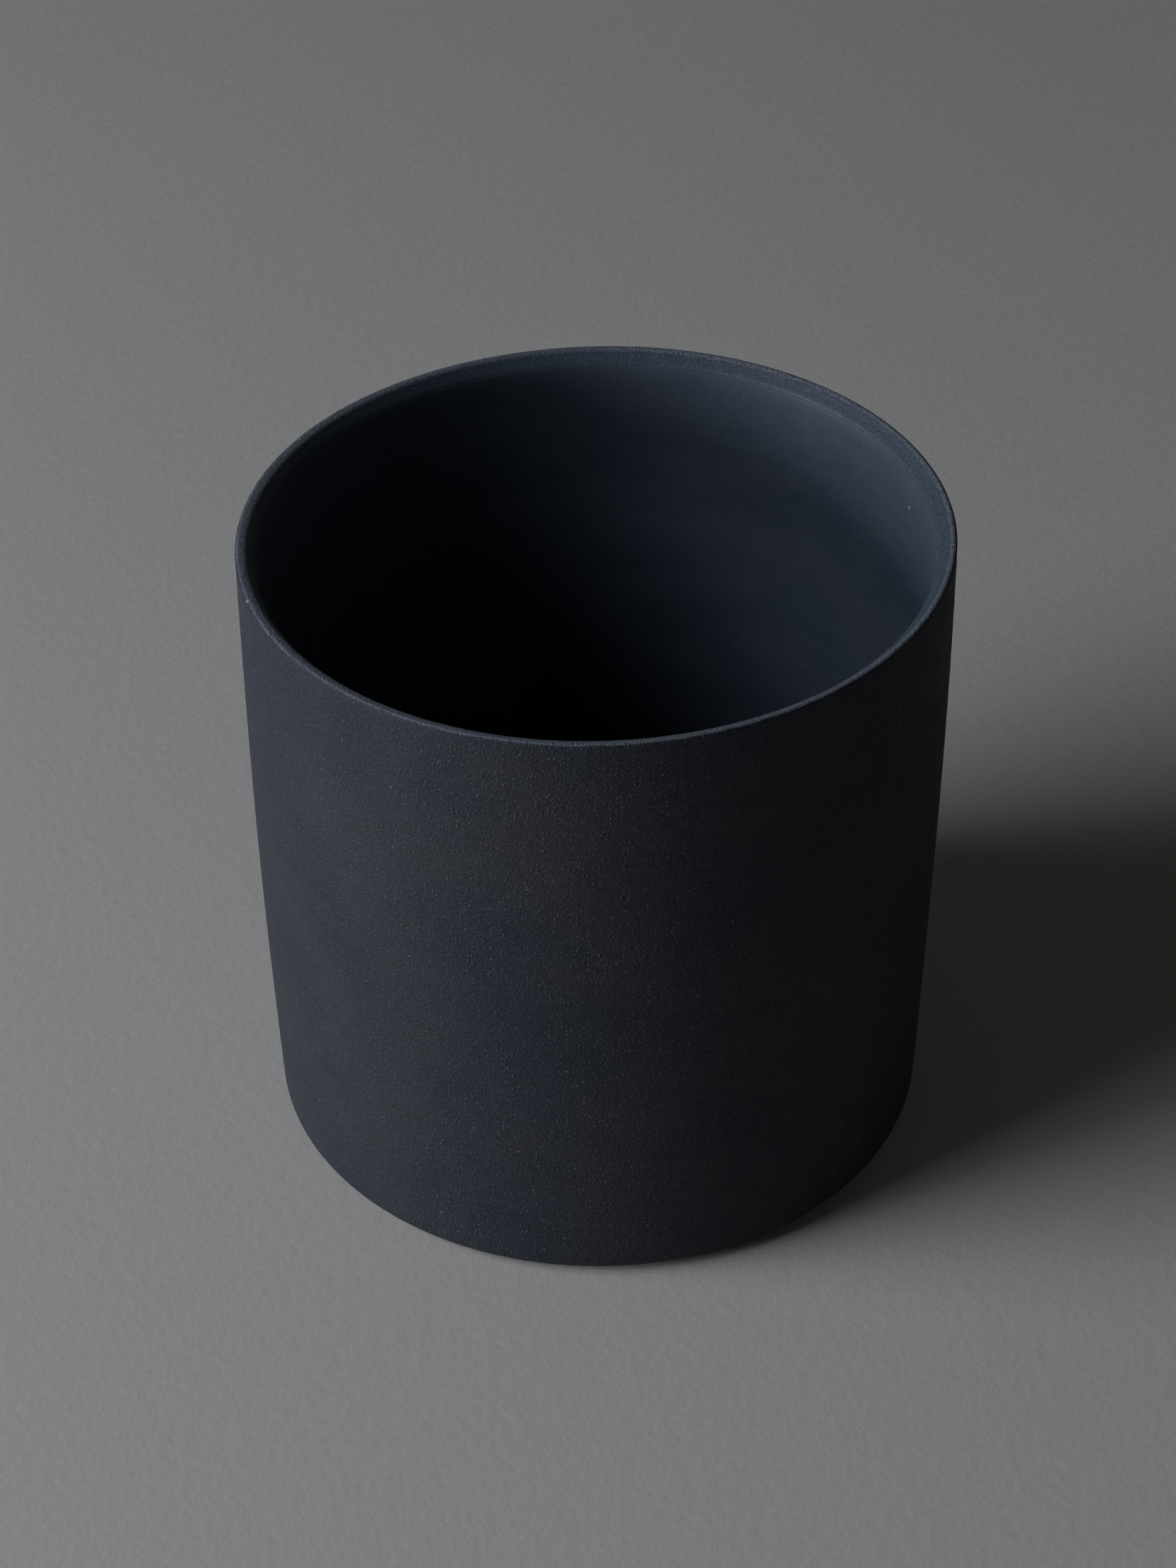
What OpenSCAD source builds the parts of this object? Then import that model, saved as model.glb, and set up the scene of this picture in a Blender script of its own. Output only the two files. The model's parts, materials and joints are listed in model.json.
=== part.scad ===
// Empty candle jar: a thin walled stoneware cup, glazed on the inside only.
// Millimetres, +Z up, origin at the centre of the foot, on the surface it stands on.

/* [Outside] */
// Outside diameter at the lip
rim_d = 80; // [60:1:110]
// Height from the table to the top of the lip
jar_h = 77; // [60:1:120]
// How much smaller the outside radius is at the foot than at the lip
foot_taper = 2; // [0:0.1:4]
// How far the wall swells past a straight taper at half height
wall_belly = 0.46; // [0:0.02:1.5]
// Radius of the rounded edge round the foot
foot_edge_r = 3; // [1:0.1:5]

/* [Foot] */
// Width of the flat ring that the jar stands on
foot_ring_w = 6; // [3:0.5:12]
// Depth of the hollow turned inside that ring
foot_recess_h = 0.8; // [0.3:0.1:1.5]

/* [Wall and floor] */
// Wall at the mouth, just below the lip, glaze included
mouth_wall_t = 2.3; // [1.7:0.1:3.5]
// Wall just above the floor, glaze included
wall_t = 3.2; // [2:0.1:5]
// Floor at its middle, from the table to the glazed surface
floor_t = 4.4; // [3.5:0.1:8]
// Radius of the bend between the wall and the floor, on the glazed side
inner_edge_r = 6; // [2:0.5:10]

/* [Lip] */
// Width of the level land on top of the lip
lip_land_w = 0.8; // [0.4:0.05:1.3]
// Radius of the outer arris of the lip
lip_arris_r = 0.3; // [0.1:0.05:0.3]
// Height of the bare bevel inside the lip, above the glaze line
lip_bevel_h = 1.5; // [0.5:0.1:3]

/* [Mouth] */
// Height of the straight round wall below the bevel, where a lid's plug sits
mouth_h = 18; // [8:1:25]

/* [Glaze] */
// Thickness of the liner glaze
glaze_t = 0.2; // [0.1:0.05:0.3]

/* [Hidden] */
$fn = 180;
body_colour = [0.07, 0.07, 0.075];
glaze_colour = [0.05, 0.055, 0.065];
wall_steps = 12;   // stations up the swelling outside wall
edge_steps = 10;   // stations round each bend
rim_r = rim_d / 2;
foot_r = rim_r - foot_taper;
lip_r = outer_r(jar_h - lip_arris_r);
mouth_r = rim_r - mouth_wall_t;
glaze_top = jar_h - lip_bevel_h;
mouth_bottom = glaze_top - mouth_h;
ring_in_r = foot_r - foot_edge_r - foot_ring_w;
bend_top = floor_t + inner_edge_r;
bend_r = outer_r(bend_top) - wall_t;

// Outside radius of the wall at height z
function outer_r(z) =
    foot_r + foot_taper * z / jar_h + 4 * wall_belly * z * (jar_h - z) / pow(jar_h, 2);

// Points on an arc round centre c, from angle a0 to angle a1
function arc(c, r, a0, a1) =
    [for (i = [0:edge_steps]) let (a = a0 + (a1 - a0) * i / edge_steps) c + r * [cos(a), sin(a)]];

// Outline of the underside and the outside wall, from the axis to the outer arris
function outside_points() = concat(
    [[0, foot_recess_h], [ring_in_r - foot_recess_h, foot_recess_h], [ring_in_r, 0]],
    arc([outer_r(foot_edge_r) - foot_edge_r, foot_edge_r], foot_edge_r, -90, 0),
    [for (i = [1:wall_steps])
        let (z = foot_edge_r + (jar_h - lip_arris_r - foot_edge_r) * i / (wall_steps + 1))
        [outer_r(z), z]],
    arc([lip_r - lip_arris_r, jar_h - lip_arris_r], lip_arris_r, 0, 90)
);

// Outline of the inside surface, from the glaze line down to the axis.
// depth is 0 on the glazed side and glaze_t where the glaze meets the fired body.
function inside_points(depth) = concat(
    [[mouth_r + depth, glaze_top], [mouth_r + depth, mouth_bottom]],
    arc([bend_r - inner_edge_r, bend_top], inner_edge_r + depth, 0, -90),
    [[0, floor_t - depth]]
);

// The fired stoneware cup, bare outside, on the lip and underneath
module jar_body() {
    color(body_colour)
        rotate_extrude()
            polygon(concat(
                outside_points(),
                [[lip_r - lip_arris_r - lip_land_w, jar_h]],
                inside_points(glaze_t)
            ));
}

// The liner glaze that keeps wax out of the fired body
module inner_glaze() {
    inner_side = inside_points(0);
    color(glaze_colour)
        rotate_extrude()
            polygon(concat(
                inside_points(glaze_t),
                [for (i = [len(inner_side) - 1:-1:0]) inner_side[i]]
            ));
}

jar_body();
inner_glaze();
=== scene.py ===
"""An empty stoneware candle jar, bare outside and glazed inside, on a plain pale floor.

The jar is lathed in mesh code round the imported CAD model's own sizes, then given the slight
ovality, turning marks and worn lip of a hand-made pot. Lengths are in metres, angles in degrees.
"""
import json
import math

import bpy
import numpy as np
from mathutils import Matrix, Vector


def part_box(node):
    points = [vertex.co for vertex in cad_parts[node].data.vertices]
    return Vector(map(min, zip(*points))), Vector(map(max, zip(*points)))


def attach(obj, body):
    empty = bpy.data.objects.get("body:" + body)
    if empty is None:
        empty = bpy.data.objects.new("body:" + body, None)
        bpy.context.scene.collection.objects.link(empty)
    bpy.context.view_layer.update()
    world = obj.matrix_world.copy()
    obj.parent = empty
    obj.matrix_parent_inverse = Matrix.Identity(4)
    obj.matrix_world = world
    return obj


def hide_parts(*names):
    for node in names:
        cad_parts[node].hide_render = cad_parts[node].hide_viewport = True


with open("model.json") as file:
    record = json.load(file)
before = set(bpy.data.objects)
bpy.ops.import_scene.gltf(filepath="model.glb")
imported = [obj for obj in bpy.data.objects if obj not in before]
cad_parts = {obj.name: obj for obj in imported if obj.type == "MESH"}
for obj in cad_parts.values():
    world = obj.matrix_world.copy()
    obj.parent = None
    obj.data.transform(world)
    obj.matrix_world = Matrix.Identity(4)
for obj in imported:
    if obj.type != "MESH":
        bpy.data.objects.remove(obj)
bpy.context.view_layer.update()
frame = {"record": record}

MM = 0.001

# ---------------------------------------------------------------- sizes, from the frame
body_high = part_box("jar_body")[1]
glaze_low, glaze_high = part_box("inner_glaze")
mouth = next(m for m in frame["record"]["mounts"] if m["name"] == "mouth")
RIM_R = body_high.x
HEIGHT = body_high.z
MOUTH_R = mouth["dims"]["r_mm"] * MM
MOUTH_BOTTOM = mouth["pos_m"][2] - mouth["dims"]["length_mm"] * MM / 2
GLAZE_TOP = glaze_high.z
GLAZE_T = glaze_high.x - MOUTH_R
FLOOR_TOP = glaze_low.z + GLAZE_T

# Sizes that the frame's boxes don't show, as in the CAD model
FOOT_TAPER = 2.0 * MM     # how much smaller the outside radius is at the foot than at the lip
WALL_BELLY = 0.46 * MM    # how far the wall swells past a straight taper at half height
FOOT_EDGE_R = 3.0 * MM
FOOT_RING_W = 6.0 * MM
FOOT_RECESS = 0.8 * MM
INNER_EDGE_R = 6.0 * MM   # the bend between the wall and the floor, on the glazed side
LOW_WALL_T = 3.2 * MM     # the wall just above that bend, glaze included
ARRIS_R = 0.3 * MM        # the outer edge of the lip
ARRIS_DROP = 0.02 * MM    # how far that edge's arc ends below the lip's top

# The lip's land and bevel: millimetres in from its outside and down from its top
LIP_CROWN = [
    (0.4, 0), (0.7, 0.04), (0.95, 0.12), (1.12, 0.25), (1.4, 0.55), (1.75, 0.92), (1.98, 1.20),
]
# How the glaze thins at its top: share of its thickness, and millimetres down
GLAZE_FEATHER = [(0.85, 0.05), (0.6, 0.3), (0.35, 0.7), (0.12, 1.2), (0, 1.8)]

# The hand-made part of the shape, with its axes in degrees from +X towards +Y
OVALITY = 0.0138          # share of the radius, at the lip, fading to nothing at the foot
OVAL_AXIS = 45            # where the lip is widest
LAND_SHIFT = 0.18 * MM    # how much wider the lip's flat land is on its widest side
LAND_AXIS = 200           # where the land is widest
FLOOR_RINGS = 0.03 * MM   # height of the rings on the inside floor
FLOOR_RING_GAP = 5.5 * MM
THROWING_RISE = 6 * MM    # how far the inside's throwing spiral climbs in one turn
TURNS = 640               # stations round the jar
rng = np.random.default_rng(20)


def outer_r(z):
    """Outside radius of the wall at height z."""
    u = z / HEIGHT
    return RIM_R - FOOT_TAPER * (1 - u) + 4 * WALL_BELLY * u * (1 - u)


# ---------------------------------------------------------------- mesh tools
def arc(centre, radius, start, end, steps):
    """Points on an arc in the (radius, height) plane, from angle start to angle end."""
    angles = np.radians(np.linspace(start, end, steps + 1))
    return [(centre[0] + radius * math.cos(a), centre[1] + radius * math.sin(a)) for a in angles]


def line(start, end, steps, skip_first=True):
    """Evenly spaced points from start to end."""
    shares = np.linspace(0, 1, steps + 1)[1 if skip_first else 0:]
    return [tuple(np.array(start) * (1 - s) + np.array(end) * s) for s in shares]


def lathe(name, outline, shape):
    """A closed mesh turned from an outline that starts and ends on the axis.

    shape(radius, height, angle) moves each ring's points, and returns new radii and heights.
    """
    angles = np.arange(TURNS) * 2 * math.pi / TURNS
    rings = [p for p in outline if p[0] > 1e-7]
    radius = np.array([p[0] for p in rings])[:, None] * np.ones(TURNS)
    height = np.array([p[1] for p in rings])[:, None] * np.ones(TURNS)
    radius, height = shape(radius, height, angles[None, :])
    points = np.stack([radius * np.cos(angles), radius * np.sin(angles), height], -1).reshape(-1, 3)
    first, last = len(points), len(points) + 1
    ends = [(0, 0, height[0].mean()), (0, 0, height[-1].mean())]
    faces = []
    for i in range(len(rings) - 1):
        a = i * TURNS
        for j in range(TURNS):
            k = (j + 1) % TURNS
            faces.append((a + j, a + k, a + TURNS + k, a + TURNS + j))
    top = (len(rings) - 1) * TURNS
    for j in range(TURNS):
        k = (j + 1) % TURNS
        faces.append((first, k, j))
        faces.append((last, top + j, top + k))
    mesh = bpy.data.meshes.new(name)
    mesh.from_pydata([tuple(p) for p in points] + ends, [], faces)
    mesh.validate()
    mesh.shade_smooth()
    piece = bpy.data.objects.new(name, mesh)
    bpy.context.scene.collection.objects.link(piece)
    return piece


def waves(count, amplitude, shortest, longest, turns):
    """Random gentle waves: (amplitude, wavelength up the wall, whole waves round it, phase)."""
    return [
        (
            amplitude * rng.uniform(0.4, 1.0),
            rng.uniform(shortest, longest),
            int(rng.integers(-turns, turns + 1)),
            rng.uniform(0, 2 * math.pi),
        )
        for _ in range(count)
    ]


def add_waves(table, height, angle):
    """Sum of a table of waves at each height and angle."""
    total = 0
    for amplitude, length, turns, phase in table:
        total = total + amplitude * np.cos(2 * math.pi * height / length + turns * angle + phase)
    return total


def smooth_step(low, high, value):
    """0 below low, 1 above high, and a smooth rise between."""
    t = np.clip((value - low) / (high - low), 0, 1)
    return t * t * (3 - 2 * t)


# ---------------------------------------------------------------- how the jar is out of true
WALL_WARP = waves(5, 0.035 * MM, 60 * MM, 140 * MM, 4)
TURNING = waves(9, 0.006 * MM, 2.2 * MM, 7.0 * MM, 1)
THROWING = waves(7, 0.010 * MM, 4.5 * MM, 13.0 * MM, 1)
LIP_LEVEL = waves(4, 0.035 * MM, 900 * MM, 1000 * MM, 5)


def warp(height, angle):
    """Radial offset that the wall, its glaze and its lip share, for a unit radius of RIM_R."""
    up = np.clip(height / HEIGHT, 0, 1)
    oval = OVALITY * RIM_R * up * np.cos(2 * (angle - math.radians(OVAL_AXIS)))
    return oval + add_waves(WALL_WARP, height, angle) * smooth_step(0.0, 0.3, up)


def lip_level(height, angle):
    """How far the lip, and a little of the wall below it, is above or below its true level."""
    near_lip = smooth_step(HEIGHT - 12 * MM, HEIGHT, height)
    return add_waves(LIP_LEVEL, 0 * height, angle) * near_lip


def body_shape(radius, height, angle):
    """The fired clay: warped wall, faint turning lines, and a lip of uneven level and width."""
    share = smooth_step(0.2 * RIM_R, 0.9 * RIM_R, radius)
    outside = smooth_step(outer_r(height) - 1.0 * MM, outer_r(height) - 0.2 * MM, radius)
    lines = add_waves(TURNING, height, angle) * outside * smooth_step(2 * MM, 6 * MM, height)
    crown = smooth_step(RIM_R - 0.35 * MM, RIM_R - 0.95 * MM, radius)
    crown = crown * smooth_step(RIM_R - 2.1 * MM, RIM_R - 1.3 * MM, radius) * (height > GLAZE_TOP)
    land = LAND_SHIFT * np.cos(angle - math.radians(LAND_AXIS)) * crown
    return radius + share * warp(height, angle) + lines - land, height + lip_level(height, angle)


def glaze_shape(radius, height, angle):
    """The glaze follows the warped wall and shows the soft throwing rings of the inside."""
    share = smooth_step(0.2 * RIM_R, 0.9 * RIM_R, radius)
    rings = add_waves(THROWING, height, angle - 2 * math.pi * height / THROWING_RISE)
    wall = smooth_step(0.6 * MOUTH_R, 0.9 * MOUTH_R, radius)
    edge = 1 - smooth_step(GLAZE_TOP - 7 * MM, GLAZE_TOP - 1 * MM, height)
    floor_rings = FLOOR_RINGS * np.cos(2 * math.pi * radius / FLOOR_RING_GAP + angle) * (1 - wall)
    new_radius = radius + share * warp(height, angle) + rings * wall * edge
    return new_radius, height + lip_level(height, angle) + floor_rings


# ---------------------------------------------------------------- the two pieces
def bend(depth, steps):
    """The inside bend from the wall to the floor, depth behind the glazed surface."""
    top = FLOOR_TOP + INNER_EDGE_R
    centre = (outer_r(top) - LOW_WALL_T - INNER_EDGE_R, top)
    return arc(centre, INNER_EDGE_R + depth, 0, -90, steps)


def make_body():
    """The fired stoneware cup, turned from the middle of its underside to that of its floor."""
    ring_out = outer_r(FOOT_EDGE_R) - FOOT_EDGE_R
    ring_in = RIM_R - FOOT_TAPER - FOOT_EDGE_R - FOOT_RING_W
    arris_z = HEIGHT - ARRIS_R - ARRIS_DROP
    arris_centre = (outer_r(HEIGHT - ARRIS_R) - ARRIS_R, arris_z)
    bevel_foot = (MOUTH_R + GLAZE_T, GLAZE_TOP)
    outline = [(0, FOOT_RECESS)]
    outline += line((0, FOOT_RECESS), (ring_in - 1.2 * MM, FOOT_RECESS), 14)
    outline += arc((ring_in - 1.2 * MM, FOOT_RECESS - 0.5 * MM), 0.5 * MM, 90, 45, 3)[1:]
    outline += line(outline[-1], (ring_in - 0.1 * MM, 0.08 * MM), 3)
    outline += [(ring_in + 0.15 * MM, 0)]
    outline += line(outline[-1], (ring_out, 0), 5)
    outline += arc((ring_out, FOOT_EDGE_R), FOOT_EDGE_R, -90, 0, 12)[1:]
    heights = np.linspace(FOOT_EDGE_R, arris_z, 70)[1:]
    outline += [(outer_r(z), z) for z in heights]
    outline += arc(arris_centre, ARRIS_R, 0, 75, 5)[1:]
    crown = [(RIM_R - d * MM, HEIGHT - h * MM) for d, h in LIP_CROWN]
    outline += curve([outline[-1], *crown, bevel_foot], 4)
    outline += line(bevel_foot, (MOUTH_R + GLAZE_T, MOUTH_BOTTOM), 3)
    outline += bend(GLAZE_T, 5)
    outline += line(outline[-1], (0.5 * MM, FLOOR_TOP - GLAZE_T), 2)
    outline += [(0, FLOOR_TOP - GLAZE_T)]
    return lathe("stoneware_cup", outline, body_shape)


def curve(stops, steps=5):
    """A smooth line through its stops, without the first of them."""
    stops = [np.array(p) for p in stops]
    padded = [2 * stops[0] - stops[1]] + stops + [2 * stops[-1] - stops[-2]]
    points = []
    for i in range(1, len(padded) - 2):
        p0, p1, p2, p3 = padded[i - 1:i + 3]
        for t in np.linspace(0, 1, steps + 1)[1:]:
            cubic = (
                2 * p1 + (p2 - p0) * t
                + (2 * p0 - 5 * p1 + 4 * p2 - p3) * t**2
                + (3 * p1 - p0 - 3 * p2 + p3) * t**3
            )
            points.append(tuple(cubic / 2))
    return points


def make_glaze():
    """The liner glaze: up its hidden face from the middle, over its edge, down its seen face."""
    outline = [(0, FLOOR_TOP - GLAZE_T)]
    outline += line((0.5 * MM, FLOOR_TOP - GLAZE_T), bend(GLAZE_T, 5)[-1], 2)
    outline += bend(GLAZE_T, 5)[::-1][1:]
    outline += line((MOUTH_R + GLAZE_T, MOUTH_BOTTOM), (MOUTH_R + GLAZE_T, GLAZE_TOP), 3, False)
    outline += [(MOUTH_R + t * GLAZE_T, GLAZE_TOP - h * MM) for t, h in GLAZE_FEATHER]
    outline += line(outline[-1], (MOUTH_R, MOUTH_BOTTOM), 20)
    outline += line(outline[-1], bend(0, 5)[0], 52)
    outline += bend(0, 12)[1:]
    outline += line(outline[-1], (0.5 * MM, FLOOR_TOP), 18)
    outline += [(0, FLOOR_TOP)]
    return lathe("liner_glaze", outline, glaze_shape)


# ---------------------------------------------------------------- materials
class Graph:
    """A material's node graph, built a node at a time."""

    def __init__(self, name):
        self.material = bpy.data.materials.new(name)
        self.material.use_nodes = True
        self.tree = self.material.node_tree
        self.tree.nodes.clear()
        self.where = self.add("ShaderNodeTexCoord").outputs["Object"]

    def add(self, kind, inputs=None, **settings):
        """A node with its settings and inputs. An input is a value or another node's output."""
        node = self.tree.nodes.new(kind)
        for key, value in settings.items():
            setattr(node, key, value)
        for key, value in (inputs or {}).items():
            if isinstance(value, bpy.types.NodeSocket):
                self.tree.links.new(value, node.inputs[key])
            else:
                node.inputs[key].default_value = value
        return node

    def maths(self, operation, *values):
        """One arithmetic step on numbers."""
        return self.add("ShaderNodeMath", dict(enumerate(values)), operation=operation).outputs[0]

    def span(self, value, low, high, to_low=0.0, to_high=1.0):
        """value's range low to high, mapped smoothly to another range."""
        inputs = {"Value": value, "From Min": low, "From Max": high,
                  "To Min": to_low, "To Max": to_high}
        return self.add("ShaderNodeMapRange", inputs, interpolation_type="SMOOTHSTEP").outputs[0]

    def stretch(self, x, y, z):
        """Object coordinates with each axis multiplied."""
        inputs = {0: self.where, 1: (x, y, z)}
        return self.add("ShaderNodeVectorMath", inputs, operation="MULTIPLY").outputs[0]

    def noise(self, size, detail=2.0, rough=0.5, flat=1.0):
        """Noise from 0 to 1 with blotches of about a size, and flat times shorter up the wall."""
        inputs = {"Vector": self.stretch(1 / size, 1 / size, flat / size), "Scale": 1.0,
                  "Detail": detail, "Roughness": rough}
        return self.add("ShaderNodeTexNoise", inputs).outputs[0]

    def grains(self, pitch, radius, share):
        """Rounded grains: (height from 0 to 1, a random number that each grain keeps)."""
        inputs = {"Vector": self.where, "Scale": 1 / pitch}
        cells = self.add("ShaderNodeTexVoronoi", inputs)
        lots = self.add("ShaderNodeSeparateColor", {"Color": cells.outputs["Color"]})
        dome = self.span(cells.outputs["Distance"], 0.0, radius / pitch, 1.0, 0.0)
        kept = self.maths("LESS_THAN", lots.outputs[0], share)
        return self.maths("MULTIPLY", dome, kept), lots.outputs[1]

    def speck(self, azimuth, radius, height, size):
        """A round spot at a place on the jar: 1 at its middle, falling to 0 at size from it."""
        angle = math.radians(azimuth)
        centre = (radius * math.cos(angle), radius * math.sin(angle), height)
        inputs = {0: self.where, 1: centre}
        away = self.add("ShaderNodeVectorMath", inputs, operation="DISTANCE").outputs["Value"]
        return self.span(away, 0.4 * size, size, 1.0, 0.0)

    def blend(self, share, first, second):
        """A colour between two, where each is a colour or another node's output."""
        node = self.add("ShaderNodeMix", {0: share, 6: first, 7: second}, data_type="RGBA")
        return node.outputs[2]

    def tint(self, colour, factor):
        """A colour made lighter or darker by a number from a node."""
        node = self.add("ShaderNodeVectorMath", {0: colour, "Scale": factor}, operation="SCALE")
        return node.outputs[0]

    def finish(self, colour, rough, height, shine):
        """The shader: colour, roughness, a bump whose height is in metres, and specular level."""
        bump = self.add("ShaderNodeBump", {"Strength": 1.0, "Distance": 1.0, "Height": height})
        inputs = {"Base Color": colour, "Roughness": rough, "Normal": bump.outputs[0],
                  "Specular IOR Level": shine}
        shader = self.add("ShaderNodeBsdfPrincipled", inputs)
        out = self.add("ShaderNodeOutputMaterial")
        self.tree.links.new(shader.outputs[0], out.inputs["Surface"])
        return self.material


def clay_zones(g):
    """Shares from 0 to 1: the bevel inside the lip, the lip's pale worn land, and the foot."""
    x, y, up = g.add("ShaderNodeSeparateXYZ", {0: g.where}).outputs

    # How far in from the oval lip's outside, and from where its uneven land begins
    out = g.maths("SQRT", g.maths("ADD", g.maths("POWER", x, 2.0), g.maths("POWER", y, 2.0)))
    azimuth = g.maths("ARCTAN2", y, x)
    twice = g.maths("MULTIPLY_ADD", azimuth, 2.0, -2 * math.radians(OVAL_AXIS))
    rim = g.maths("MULTIPLY_ADD", g.maths("COSINE", twice), OVALITY * RIM_R, RIM_R)
    inset = g.maths("SUBTRACT", rim, out)
    off_axis = g.maths("SUBTRACT", azimuth, math.radians(LAND_AXIS))
    widening = g.maths("MULTIPLY", g.maths("COSINE", off_axis), LAND_SHIFT)

    inner = g.span(g.maths("SUBTRACT", inset, widening), 0.6 * MM, 1.5 * MM)
    inner = g.maths("MULTIPLY", inner, g.span(up, HEIGHT - 5 * MM, HEIGHT - 4 * MM))

    # The land falls away inwards, so the height that bounds it is raised with the inset
    ragged = g.maths("MULTIPLY", g.noise(1.5 * MM, 4.0, 0.6), 0.24 * MM)
    raised = g.maths("ADD", g.maths("ADD", up, ragged), g.maths("MULTIPLY", inset, 0.2))
    top = g.span(raised, HEIGHT - 0.02 * MM, HEIGHT + 0.12 * MM)
    land = g.maths("MULTIPLY", top, g.maths("SUBTRACT", 1.0, inner))
    return inner, land, g.span(up, 0.5 * MM, 0.05 * MM)


def stoneware():
    """Bare black stoneware: sandy, matte, faintly turned, with a paler worn lip and foot ring."""
    g = Graph("bare_stoneware")
    inner, land, foot = clay_zones(g)
    bare = g.maths("SUBTRACT", 1.0, inner)
    silt, silt_lot = g.grains(0.30 * MM, 0.13 * MM, 0.6)
    sand, sand_lot = g.grains(0.60 * MM, 0.17 * MM, 0.5)
    coarse, coarse_lot = g.grains(1.3 * MM, 0.22 * MM, 0.3)
    tooth = g.noise(0.3 * MM, 2.0, 0.6)
    lines = g.noise(18 * MM, 3.0, 0.6, flat=26)
    cloud = g.noise(16 * MM, 3.0, 0.55)
    patch = g.noise(3.5 * MM, 2.0, 0.5)

    silt = g.maths("MULTIPLY", silt, g.span(silt_lot, 0.0, 1.0, 0.2, 1.0))
    silt = g.maths("MULTIPLY", silt, bare)
    sand = g.maths("MULTIPLY", sand, g.span(sand_lot, 0.0, 1.0, 0.2, 1.0))
    sand = g.maths("MULTIPLY", sand, bare)
    coarse = g.maths("MULTIPLY", coarse, bare)
    tooth = g.maths("MULTIPLY", tooth, g.span(inner, 0.0, 1.0, 1.0, 0.15))

    shade = g.span(cloud, 0.3, 0.7, 0.86, 1.10)
    shade = g.maths("ADD", shade, g.span(patch, 0.3, 0.7, -0.05, 0.05))
    shade = g.maths("ADD", shade, g.span(lines, 0.3, 0.7, -0.05, 0.05))
    mix = g.span(cloud, 0.35, 0.65)
    clay = g.blend(mix, (0.0180, 0.0218, 0.0306, 1), (0.0206, 0.0222, 0.0278, 1))
    clay = g.tint(clay, shade)
    clay = g.blend(g.maths("MULTIPLY", foot, 0.4), clay, (0.075, 0.080, 0.092, 1))
    clay = g.blend(inner, clay, (0.041, 0.056, 0.076, 1))
    clay = g.blend(land, clay, (0.112, 0.131, 0.157, 1))
    clay = g.tint(clay, g.span(g.noise(0.2 * MM, 1.0, 0.5), 0.3, 0.7, 0.66, 1.34))
    clay = g.blend(silt, clay, (0.104, 0.109, 0.118, 1))
    clay = g.blend(sand, clay, (0.150, 0.151, 0.155, 1))
    specks = g.maths("MULTIPLY", coarse, g.span(coarse_lot, 0.3, 1.0, 0.0, 0.8))
    clay = g.blend(specks, clay, (0.20, 0.195, 0.185, 1))
    nick = g.speck(azimuth=199, radius=1.006 * RIM_R, height=HEIGHT - 0.05 * MM, size=0.32 * MM)
    clay = g.blend(nick, clay, (0.22, 0.21, 0.20, 1))

    height = g.maths("MULTIPLY", silt, 0.13 * MM)
    height = g.maths("ADD", height, g.maths("MULTIPLY", sand, 0.23 * MM))
    height = g.maths("ADD", height, g.maths("MULTIPLY", coarse, 0.10 * MM))
    height = g.maths("ADD", height, g.maths("MULTIPLY", tooth, 0.07 * MM))
    height = g.maths("ADD", height, g.maths("MULTIPLY", lines, 0.012 * MM))
    rough = g.span(patch, 0.3, 0.7, 0.66, 0.76)
    rough = g.maths("ADD", rough, g.maths("MULTIPLY", inner, -0.14))
    shine = g.span(inner, 0.0, 1.0, 0.26, 0.22)
    return g.finish(clay, rough, height, shine)


def liner_glaze():
    """A thin satin black glaze, cloudy and faintly blue, over the throwing rings."""
    g = Graph("liner_glaze")
    cloud = g.noise(13 * MM, 3.0, 0.6, flat=1.6)
    rings = g.noise(22 * MM, 3.0, 0.55, flat=9)
    peel = g.noise(0.9 * MM, 2.0, 0.5)
    tooth = g.noise(0.22 * MM, 2.0, 0.5)
    pits, pit_lot = g.grains(5.0 * MM, 0.16 * MM, 0.16)
    shade = g.span(cloud, 0.3, 0.7, 0.95, 1.05)
    shade = g.maths("ADD", shade, g.span(rings, 0.3, 0.7, -0.04, 0.04))
    mix = g.span(cloud, 0.35, 0.65)
    colour = g.blend(mix, (0.041, 0.056, 0.077, 1), (0.046, 0.058, 0.076, 1))
    colour = g.tint(colour, shade)
    colour = g.tint(colour, g.span(tooth, 0.3, 0.7, 0.86, 1.14))
    pits = g.maths("MULTIPLY", pits, g.span(pit_lot, 0.3, 1.0, 0.2, 0.9))
    colour = g.blend(pits, colour, (0.3, 0.28, 0.27, 1))
    crumb = g.speck(azimuth=20, radius=1.009 * MOUTH_R, height=HEIGHT - 5.5 * MM, size=0.27 * MM)
    colour = g.blend(crumb, colour, (0.26, 0.26, 0.26, 1))
    height = g.maths("MULTIPLY", peel, 0.012 * MM)
    height = g.maths("ADD", height, g.maths("MULTIPLY", tooth, 0.012 * MM))
    height = g.maths("ADD", height, g.maths("MULTIPLY", rings, 0.008 * MM))
    rough = g.span(g.noise(4 * MM, 3.0, 0.6), 0.3, 0.7, 0.54, 0.66)
    return g.finish(colour, rough, height, 0.22)


def floor_finish():
    """A plain pale matte floor."""
    g = Graph("pale_floor")
    cloud = g.noise(180 * MM, 2.0, 0.5)
    colour = g.blend(cloud, (0.482, 0.469, 0.435, 1), (0.507, 0.495, 0.460, 1))
    height = g.maths("MULTIPLY", g.noise(1.5 * MM, 3.0, 0.6), 0.05 * MM)
    return g.finish(colour, g.span(cloud, 0.3, 0.7, 0.72, 0.8), height, 0.5)


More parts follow.
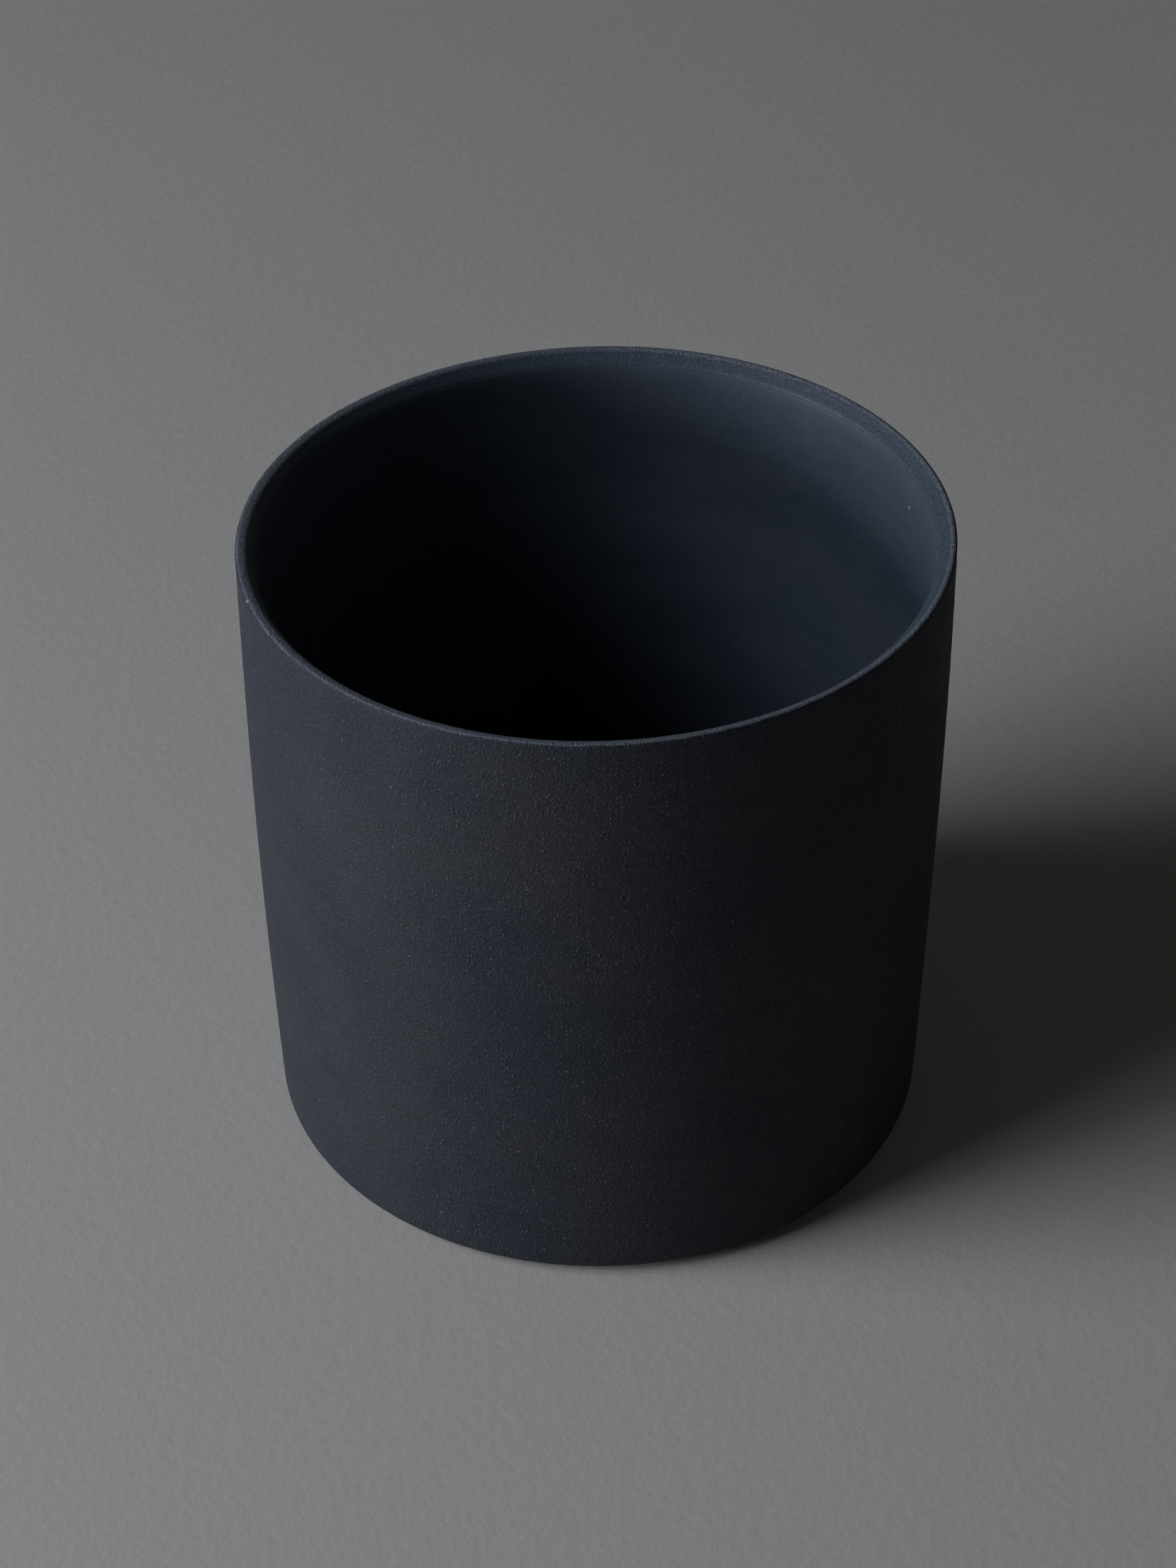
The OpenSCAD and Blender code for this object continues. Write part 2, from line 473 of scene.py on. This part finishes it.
# ---------------------------------------------------------------- stage, light and camera
def make_floor():
    """A round floor that curves up into a plain backdrop on every side."""
    flat_r, cove_r, wall_top = 1.3, 0.5, 1.6
    outline = [(0.02, 0), *line((0.02, 0), (flat_r, 0), 24)]
    outline += arc((flat_r, cove_r), cove_r, -90, 0, 12)[1:]
    outline += line(outline[-1], (flat_r + cove_r, wall_top), 3)
    count = 96
    points = [(0, 0, 0)]
    for r, z in outline:
        for j in range(count):
            a = 2 * math.pi * j / count
            points.append((r * math.cos(a), r * math.sin(a), z))
    faces = [(0, 1 + j, 1 + (j + 1) % count) for j in range(count)]
    for i in range(len(outline) - 1):
        for j in range(count):
            a, b = 1 + i * count + j, 1 + i * count + (j + 1) % count
            faces.append((a, a + count, b + count, b))
    mesh = bpy.data.meshes.new("pale_floor")
    mesh.from_pydata(points, [], faces)
    mesh.shade_smooth()
    floor = bpy.data.objects.new("pale_floor", mesh)
    bpy.context.scene.collection.objects.link(floor)
    mesh.materials.append(floor_finish())
    return floor


def towards(azimuth, elevation):
    """The direction from the jar to something at that azimuth, from +X towards +Y, and height."""
    a, e = math.radians(azimuth), math.radians(elevation)
    return Vector((math.cos(a) * math.cos(e), math.sin(a) * math.cos(e), math.sin(e)))


def softbox(name, azimuth, elevation, distance, width, height, watts, colour):
    """A rectangular lamp that faces the jar."""
    data = bpy.data.lights.new(name, "AREA")
    data.shape = "RECTANGLE"
    data.size, data.size_y = width, height
    data.energy = watts
    data.color = colour
    lamp = bpy.data.objects.new(name, data)
    direction = towards(azimuth, elevation)
    lamp.location = Vector((0, 0, HEIGHT / 2)) + direction * distance
    lamp.rotation_mode = "QUATERNION"
    lamp.rotation_quaternion = direction.to_track_quat("Z", "Y")
    bpy.context.scene.collection.objects.link(lamp)
    return lamp


def make_light():
    """A low and a high window-like light from the left, and a dim warm fill from the far right."""
    # name, azimuth, elevation, distance, width, height, watts, colour
    softbox("window_low", 197, 8.2, 1.0, 0.46, 0.21, 7.4, (0.96, 1.0, 1.10))
    softbox("window_high", 199, 38, 1.0, 0.62, 0.34, 3.9, (0.96, 1.0, 1.11))
    softbox("far_fill", 58, 11, 1.2, 0.7, 0.3, 0.16, (1.0, 0.88, 0.77))
    world = bpy.data.worlds.new("studio")
    world.use_nodes = True
    sky = world.node_tree.nodes["Background"]
    sky.inputs["Color"].default_value = (1.0, 0.88, 0.78, 1)
    sky.inputs["Strength"].default_value = 0.003
    bpy.context.scene.world = world


def make_camera():
    """A long lens that looks down into the mouth at the photograph's angle."""
    elevation, roll = math.radians(36.9), math.radians(-0.298)
    distance, aside, above = 12.37 * RIM_R, -0.028 * RIM_R, 0.0705 * RIM_R
    back = Vector((0, -math.cos(elevation), math.sin(elevation)))
    right = Vector((1, 0, 0))
    up = back.cross(right)
    turned_right = right * math.cos(roll) + up * math.sin(roll)
    turned_up = up * math.cos(roll) - right * math.sin(roll)
    data = bpy.data.cameras.new("camera")
    data.lens = 97.65
    data.sensor_width = 36
    data.clip_start, data.clip_end = 0.01, 20
    camera = bpy.data.objects.new("camera", data)
    turn = Matrix((turned_right, turned_up, back)).transposed().to_4x4()
    place = Vector((0, 0, HEIGHT / 2)) + back * distance + right * aside + up * above
    camera.matrix_world = Matrix.Translation(place) @ turn
    bpy.context.scene.collection.objects.link(camera)
    bpy.context.scene.camera = camera


make_camera()
make_light()
make_floor()

cup = make_body()
cup.data.materials.append(stoneware())
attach(cup, "root")
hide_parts("jar_body")

glaze = make_glaze()
glaze.data.materials.append(liner_glaze())
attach(glaze, "root")
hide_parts("inner_glaze")

bpy.context.scene.view_settings.view_transform = "Standard"
